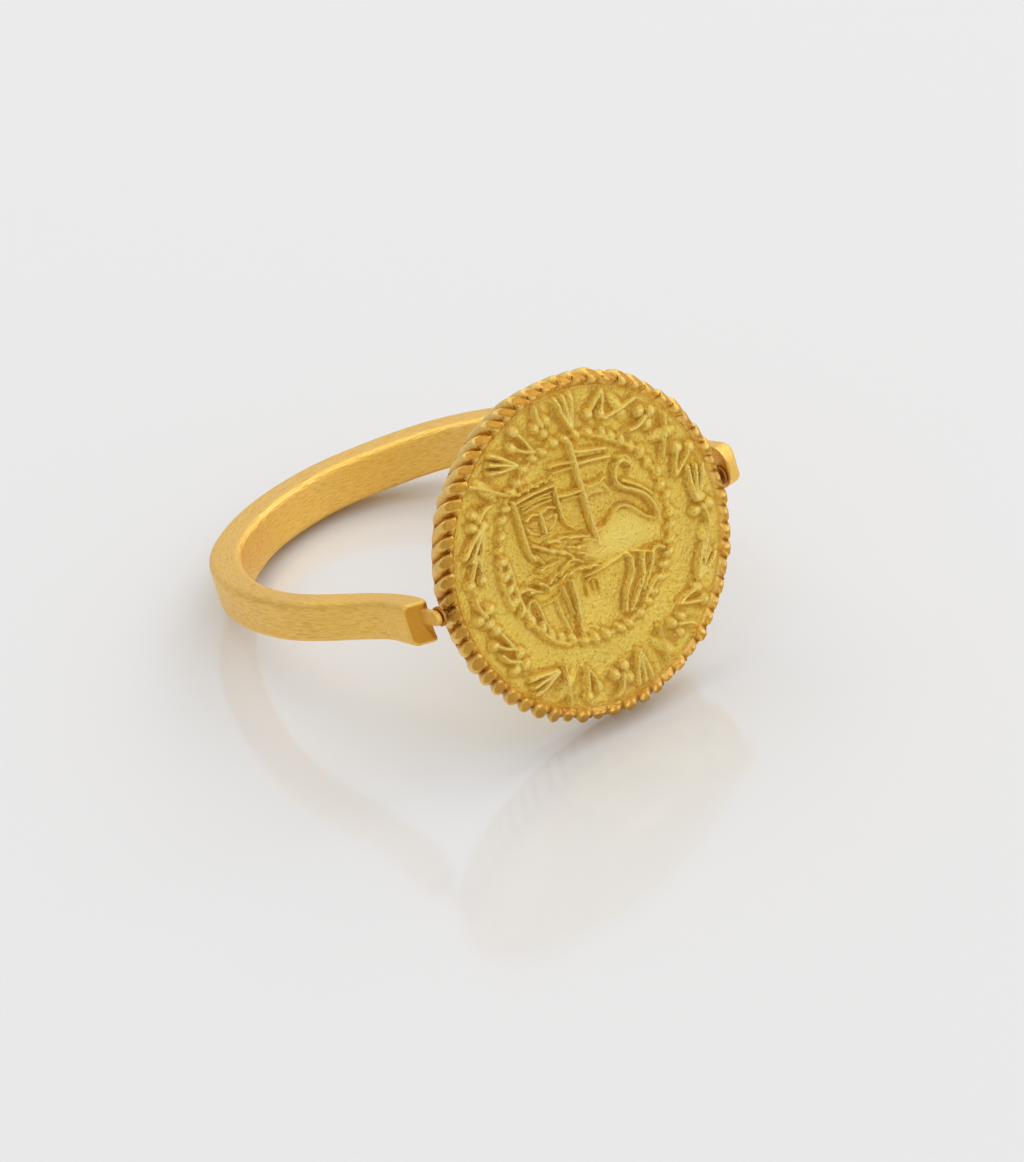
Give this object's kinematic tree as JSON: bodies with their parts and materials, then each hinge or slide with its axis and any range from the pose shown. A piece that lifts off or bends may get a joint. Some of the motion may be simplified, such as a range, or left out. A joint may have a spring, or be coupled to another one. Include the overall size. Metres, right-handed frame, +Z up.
{
  "type": "swivel signet ring",
  "caption": "Finger ring whose round relief medallion, edged with a ridged border, swivels on pivot pins between the two arms of a forged band.",
  "frame": {"origin": "on the table, midway between the ring's extremes in X and Y, as the ring stands on the medallion's edge and the back of the hoop", "axes": "+X along the pivot pins, +Y from the medallion towards the back of the hoop, +Z up from the table"},
  "size_m": [0.0204, 0.0236, 0.015],
  "materials": {
    "forged_gold": "satin, brushed along the band",
    "border_gold": "soft polish with darker hollows",
    "cast_gold": "matt, as cast, with rubbed high spots",
    "pin_gold": "smooth"
  },
  "bodies": {
    "hoop": {"shank": "forged_gold", "pivot_pin_left": "pin_gold", "pivot_pin_right": "pin_gold", "washer_left": "pin_gold", "washer_right": "pin_gold"},
    "medallion": {"border_wire": "border_gold", "obverse_plate": "cast_gold", "reverse_plate": "cast_gold", "bearing_tube_left": "pin_gold", "bearing_tube_right": "pin_gold"}
  },
  "joints": [
    {"name": "medallion_swivel", "type": "hinge", "parent": "hoop", "child": "medallion", "pos_m": [0.00028, -0.00844, 0.00755], "axis": [1, 0, 0], "continuous": true}
  ]
}
